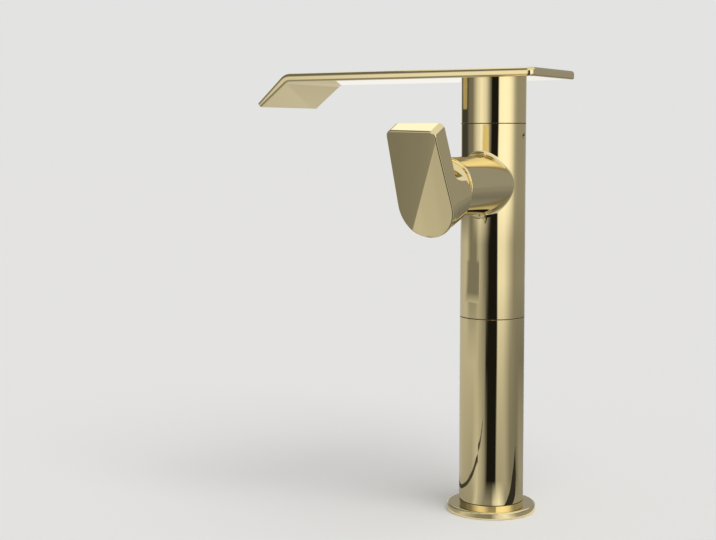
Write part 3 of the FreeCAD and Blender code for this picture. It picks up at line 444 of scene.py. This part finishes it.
def finish(name, colour, other, metallic, marks_values, bump, patches=30.0, lines=None,
           joints=None):
    """A Principled material with drifting colour, fine marks and, where given, rings or painted
    joint shade.
    """
    material = bpy.data.materials.new(name)
    material.use_nodes = True
    tree = material.node_tree
    shader = tree.nodes["Principled BSDF"]
    shader.inputs["Metallic"].default_value = metallic
    colours = set_group(add_node(tree, "ShaderNodeGroup", node_tree=tint), {
        "Colour": (*colour, 1), "Other colour": (*other, 1), "Patches per metre": patches})
    surface = set_group(add_node(tree, "ShaderNodeGroup", node_tree=marks), marks_values)
    relief = add_node(tree, "ShaderNodeBump", {"Strength": bump, "Distance": RELIEF_DEPTH})
    height = surface.outputs["Height"]
    if lines:
        ringed = set_group(add_node(tree, "ShaderNodeGroup", node_tree=rings), lines)
        total = add_node(tree, "ShaderNodeMath", operation="ADD")
        wire(tree, (height, total.inputs[0]), (ringed.outputs[0], total.inputs[1]))
        height = total.outputs[0]
    wire(tree, (colours.outputs[0], shader.inputs["Base Color"]),
         (surface.outputs["Roughness"], shader.inputs["Roughness"]),
         (height, relief.inputs["Height"]), (relief.outputs[0], shader.inputs["Normal"]))
    # Painted shade along the joints: the mask darkens the colour and dulls the roughness there.
    if joints:
        mask = set_group(add_node(tree, "ShaderNodeGroup", node_tree=joint_shade), joints).outputs["Mask"]
        mix_by_mask(tree, mask, colours.outputs[0], JOINT_SHADE_COLOUR, shader.inputs["Base Color"])
        mix_by_mask(tree, mask, surface.outputs["Roughness"], JOINT_ROUGHNESS, shader.inputs["Roughness"])
    return material


# %% Finishes by slot
GOLD = {"colour": (0.955, 0.81, 0.455), "other": (0.94, 0.79, 0.43), "metallic": 1.0, "bump": 0.25,
        "marks_values": {
            "Hairlines per metre": 7000.0, "Waves per metre": 180.0, "Hairline depth": 0.01,
            "Wave depth": 0.05, "Low roughness": 0.025, "High roughness": 0.06}}
COLUMN_PIECES = ("base_flange", "extension_tube", "valve_body", "spout_neck")
tube_low, tube_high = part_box("extension_tube")
finishes = {
    "gold": finish("polished_pale_gold", **GOLD),
    # The column's gold paints shade into the three joints between its pieces.
    "column_gold": finish("column_pale_gold", **GOLD, joints={
        "First joint": tube_low.z, "Second joint": tube_high.z,
        "Third joint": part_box("valve_body")[1].z}),
    "brass": finish("machined_brass", (0.76, 0.61, 0.33), (0.66, 0.50, 0.25), 1.0, {
        "Hairlines per metre": 5000.0, "Waves per metre": 500.0, "Hairline depth": 0.3,
        "Wave depth": 0.1, "Low roughness": 0.22, "High roughness": 0.40}, 0.3,
        lines={"Lines per metre": 1200.0, "Waver": 0.3}),
    "steel": finish("plain_steel", (0.64, 0.64, 0.65), (0.56, 0.56, 0.57), 1.0, {
        "Hairlines per metre": 6000.0, "Waves per metre": 400.0, "Hairline depth": 0.5,
        "Wave depth": 0.1, "Low roughness": 0.24, "High roughness": 0.38}, 0.3),
    "rubber": finish("black_rubber", (0.035, 0.035, 0.036), (0.060, 0.059, 0.058), 0.0, {
        "Hairlines per metre": 3000.0, "Waves per metre": 900.0, "Hairline depth": 0.4,
        "Wave depth": 0.6, "Low roughness": 0.55, "High roughness": 0.75}, 0.5, patches=60.0),
    "plastic": finish("moulded_acetal", (0.87, 0.87, 0.83), (0.82, 0.81, 0.76), 0.0, {
        "Hairlines per metre": 3000.0, "Waves per metre": 1500.0, "Hairline depth": 0.1,
        "Wave depth": 0.3, "Low roughness": 0.34, "High roughness": 0.46}, 0.25, patches=80.0),
    "ceramic": finish("lapped_alumina", (0.94, 0.93, 0.90), (0.90, 0.89, 0.85), 0.0, {
        "Hairlines per metre": 8000.0, "Waves per metre": 900.0, "Hairline depth": 0.05,
        "Wave depth": 0.05, "Low roughness": 0.10, "High roughness": 0.20}, 0.2, patches=90.0),
}
slot_of = {part["node"]: part["material_slot"] for part in frame["record"]["subparts"]}
for name, thing in nodes.items():
    thing.data.materials.clear()
    thing.data.materials.append(
        finishes["column_gold" if name in COLUMN_PIECES else slot_of[name]])
coats = [thing.data.materials[0].name for thing in nodes.values()]
print("finishes", {coat: coats.count(coat) for coat in sorted(set(coats))})

# %% [markdown]
# ## Threads below the deck
# Under the flange the real faucet has a tube with a cut thread, and a hexagon nut that clamps
# the deck. A Screw modifier could wind a thread's section upwards, but its ends are hard to
# close. This Geometry Nodes tree works as a lathe does instead: it spins a section round the
# column's axis, then moves the skin with height and angle, which cuts the thread and mills the
# flats. A point of the section says by itself how deep it is threaded and how far it is bevelled.

# %% Lathe tree
ROOT_END, CREST_START = 0.25, 0.875
HALF_FLAT, BEVEL_SLOPE = math.pi / 6, math.tan(math.radians(30))
SEAM_GAP, CREASE_ANGLE = 2e-6, math.radians(32)

lathe = bpy.data.node_groups.new("turned_threaded_milled", "GeometryNodeTree")
lathe.is_modifier = True
for label, kind in (("Section", "Geometry"), ("Columns", "Int"), ("Pitch", "Float"),
                    ("Thread depth", "Float"), ("Across flats", "Float"),
                    ("Bevel radius", "Float"), ("Finish", "Material")):
    lathe.interface.new_socket(label, in_out="INPUT", socket_type="NodeSocket" + kind)
lathe.interface.new_socket("Piece", in_out="OUTPUT", socket_type="NodeSocketGeometry")
given = add_node(lathe, "NodeGroupInput").outputs


def math_of(operation, *terms):
    """A Math node in the lathe tree, fed with sockets or plain numbers."""
    node = add_node(lathe, "ShaderNodeMath", operation=operation)
    for socket, term in zip(node.inputs, terms):
        if isinstance(term, (int, float)):
            socket.default_value = term
        else:
            wire(lathe, (term, socket))
    return node.outputs[0]


def row_value(kind, source):
    """Read a value at the section's point that this row of the skin was spun from."""
    sampled = add_node(lathe, "GeometryNodeSampleIndex", data_type=kind, domain="POINT")
    wire(lathe, (given["Section"], sampled.inputs["Geometry"]), (source, sampled.inputs["Value"]),
         (row, sampled.inputs["Index"]))
    return sampled.outputs["Value"]


def named(attribute):
    return add_node(lathe, "GeometryNodeInputNamedAttribute", {"Name": attribute},
                    data_type="FLOAT").outputs["Attribute"]


counted = add_node(lathe, "GeometryNodeAttributeDomainSize", component="MESH")
wire(lathe, (given["Section"], counted.inputs["Geometry"]))
rows = counted.outputs["Point Count"]
skin = add_node(lathe, "GeometryNodeMeshGrid")
wire(lathe, (math_of("ADD", rows, 1.0), skin.inputs["Vertices X"]),
     (math_of("ADD", given["Columns"], 1.0), skin.inputs["Vertices Y"]))
index = add_node(lathe, "GeometryNodeInputIndex").outputs[0]
row_length = math_of("ADD", given["Columns"], 1.0)
row = math_of("MODULO", math_of("FLOOR", math_of(
    "DIVIDE", math_of("ADD", index, 0.5), row_length)), rows)
column = math_of("MODULO", math_of("MODULO", index, row_length), given["Columns"])
angle = math_of("DIVIDE", math_of("MULTIPLY", column, math.tau), given["Columns"])

section_place = add_node(lathe, "ShaderNodeSeparateXYZ")
wire(lathe, (row_value("FLOAT_VECTOR", add_node(lathe, "GeometryNodeInputPosition").outputs[0]),
             section_place.inputs[0]))
radius, row_height = section_place.outputs["X"], section_place.outputs["Z"]
climb = math_of("SUBTRACT", row_height, math_of("MULTIPLY", given["Pitch"],
                                                math_of("DIVIDE", angle, math.tau)))
half_pitch = math_of("MULTIPLY", given["Pitch"], 0.5)
flank = add_node(lathe, "ShaderNodeMapRange", {"From Min": ROOT_END, "From Max": CREST_START})
wire(lathe, (math_of("DIVIDE", math_of("PINGPONG", climb, half_pitch), half_pitch),
             flank.inputs["Value"]))
cut = math_of("MULTIPLY", math_of("MULTIPLY", flank.outputs["Result"], given["Thread depth"]),
              row_value("FLOAT", named("threaded")))
flat = math_of("DIVIDE", math_of("MULTIPLY", given["Across flats"], 0.5),
               math_of("COSINE", math_of("PINGPONG", math_of("ADD", angle, HALF_FLAT), HALF_FLAT)))
skin_reach = math_of("MINIMUM", math_of("ADD", radius, cut), flat)
past_bevel = math_of("MAXIMUM", math_of("SUBTRACT", skin_reach, given["Bevel radius"]), 0.0)
drop = math_of("MULTIPLY", math_of("MULTIPLY", BEVEL_SLOPE, past_bevel),
               row_value("FLOAT", named("bevelled")))

spot = add_node(lathe, "ShaderNodeCombineXYZ")
wire(lathe, (math_of("MULTIPLY", skin_reach, math_of("COSINE", angle)), spot.inputs["X"]),
     (math_of("MULTIPLY", skin_reach, math_of("SINE", angle)), spot.inputs["Y"]),
     (math_of("SUBTRACT", row_height, drop), spot.inputs["Z"]))
placed = add_node(lathe, "GeometryNodeSetPosition")
closed = add_node(lathe, "GeometryNodeMergeByDistance", {"Distance": SEAM_GAP})
smooth = add_node(lathe, "GeometryNodeSetShadeSmooth", {"Shade Smooth": True}, domain="FACE")
crease = add_node(lathe, "GeometryNodeSetShadeSmooth", {"Shade Smooth": False}, domain="EDGE")
single = add_node(lathe, "GeometryNodeRealizeInstances")
coated = add_node(lathe, "GeometryNodeSetMaterial")
turn_angle = add_node(lathe, "GeometryNodeInputMeshEdgeAngle").outputs["Unsigned Angle"]
wire(lathe, (skin.outputs["Mesh"], placed.inputs["Geometry"]),
     (spot.outputs[0], placed.inputs["Position"]), (placed.outputs[0], closed.inputs["Geometry"]),
     (closed.outputs[0], smooth.inputs["Geometry"]),
     (smooth.outputs[0], crease.inputs["Geometry"]),
     (math_of("GREATER_THAN", turn_angle, CREASE_ANGLE), crease.inputs["Selection"]),
     (crease.outputs[0], single.inputs["Geometry"]), (single.outputs[0], coated.inputs["Geometry"]),
     (given["Finish"], coated.inputs["Material"]),
     (coated.outputs[0], add_node(lathe, "NodeGroupOutput").inputs["Piece"]))
print("lathe tree nodes", len(lathe.nodes))

# %% [markdown]
# ## From section to piece
# On a real lathe the bar is clamped, shaped and cut off. Here a closed outline is the bar's
# section, the tree shapes it, and its result is kept as the piece's own mesh. The piece then
# takes the place of its plain CAD solid, and the print says whether it stays in that box.

# %% Turn a piece
LATHE_SOCKETS = {item.name: item.identifier for item in lathe.interface.items_tree
                 if item.in_out == "INPUT"}


def turned(name, section, settings):
    """Spin a closed section, whose points are (radius, height, threaded, bevelled) in mm."""
    outline = bpy.data.meshes.new(name + "_section")
    count = len(section)
    outline.from_pydata([(point[0] * MM, 0, point[1] * MM) for point in section],
                        [(i, (i + 1) % count) for i in range(count)], [])
    for label, position in (("threaded", 2), ("bevelled", 3)):
        outline.attributes.new(label, "FLOAT", "POINT").data.foreach_set(
            "value", [float(point[position]) for point in section])
    blank = link_object(name, outline, settings["Finish"])
    modifier = blank.modifiers.new("lathe", "NODES")
    modifier.node_group = lathe
    for label, setting in settings.items():
        modifier[LATHE_SOCKETS[label]] = setting
    shaped = bpy.data.meshes.new_from_object(
        blank.evaluated_get(bpy.context.evaluated_depsgraph_get()))
    blank.modifiers.remove(modifier)
    blank.data = shaped
    bpy.data.meshes.remove(outline)
    return blank


def stand_for(piece, node):
    """The piece takes the place of one CAD node, on its body, and prints how far past its box it
    reaches.
    """
    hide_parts(node)
    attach(piece, nodes[node]["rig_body"])
    low, high = (Vector(corner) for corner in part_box(node))
    corners = [v.co for v in piece.data.vertices]
    over = max(max(max(c[i] for c in corners) - high[i], low[i] - min(c[i] for c in corners))
               for i in range(3))
    print(piece.name, "triangles", sum(len(p.vertices) - 2 for p in piece.data.polygons),
          "past its node by mm", round(over / MM, 4))

# %% [markdown]
# ## Shank and nut
# The shank is M33 with a 2 mm pitch. Its sizes come from its CAD node's box, so only the bore,
# the thread and the plain lead-in are given here. The nut's bore follows the same thread a
# little outside it, so the two mesh. Its outer corners are bevelled, as on any turned nut.

# %% Shank and nut
PITCH, THREAD_DEPTH, SHANK_WALL, LEAD_LENGTH = 2.0, 0.92, 3.0, 6.0
THREAD_PLAY, NUT_BEVEL, END_BREAK, ROWS_PER_TURN = 0.04, 1.0, 0.35, 10
THREAD_COLUMNS, NO_LIMIT = 96, 1.0


def heights_between(low, high, step):
    """Even heights from low to high, about a step apart."""
    count = max(2, round((high - low) / step) + 1)
    return [low + (high - low) * i / (count - 1) for i in range(count)]


shank_low, shank_high = (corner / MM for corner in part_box("mounting_shank"))
crest, bore = shank_high.x, shank_high.x - SHANK_WALL
root, lead_top = crest - THREAD_DEPTH, shank_low.z + LEAD_LENGTH
section = [(bore, shank_low.z, 0, 0), (root - END_BREAK, shank_low.z, 0, 0),
           (root, shank_low.z + END_BREAK, 0, 0)]
for height in heights_between(lead_top, shank_high.z - END_BREAK, PITCH / ROWS_PER_TURN):
    section.append((root, height, min(1.0, (height - lead_top) / PITCH), 0))
section += [(root, shank_high.z, 0, 0), (bore, shank_high.z, 0, 0)]
shank = turned("threaded_shank", section, {
    "Columns": THREAD_COLUMNS, "Pitch": PITCH * MM, "Thread depth": THREAD_DEPTH * MM,
    "Across flats": NO_LIMIT, "Bevel radius": NO_LIMIT, "Finish": finishes["brass"]})
stand_for(shank, "mounting_shank")

nut_low, nut_high = (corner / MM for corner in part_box("mounting_nut"))
minor = root + THREAD_PLAY
bevel_start = nut_high.y - NUT_BEVEL
section = [(minor + END_BREAK, nut_high.z, 0, 0)]
for height in reversed(heights_between(nut_low.z + END_BREAK, nut_high.z - END_BREAK,
                                       PITCH / ROWS_PER_TURN)):
    section.append((minor, height, 1, 0))
section += [(minor + END_BREAK, nut_low.z, 0, 0), (bevel_start, nut_low.z, 0, 0),
            (nut_high.x, nut_low.z, 0, -1), (nut_high.x, nut_high.z, 0, 1),
            (bevel_start, nut_high.z, 0, 0)]
nut = turned("hexagon_nut", section, {
    "Columns": THREAD_COLUMNS, "Pitch": PITCH * MM, "Thread depth": THREAD_DEPTH * MM,
    "Across flats": 2 * nut_high.y * MM, "Bevel radius": bevel_start * MM,
    "Finish": finishes["brass"]})
stand_for(nut, "mounting_nut")
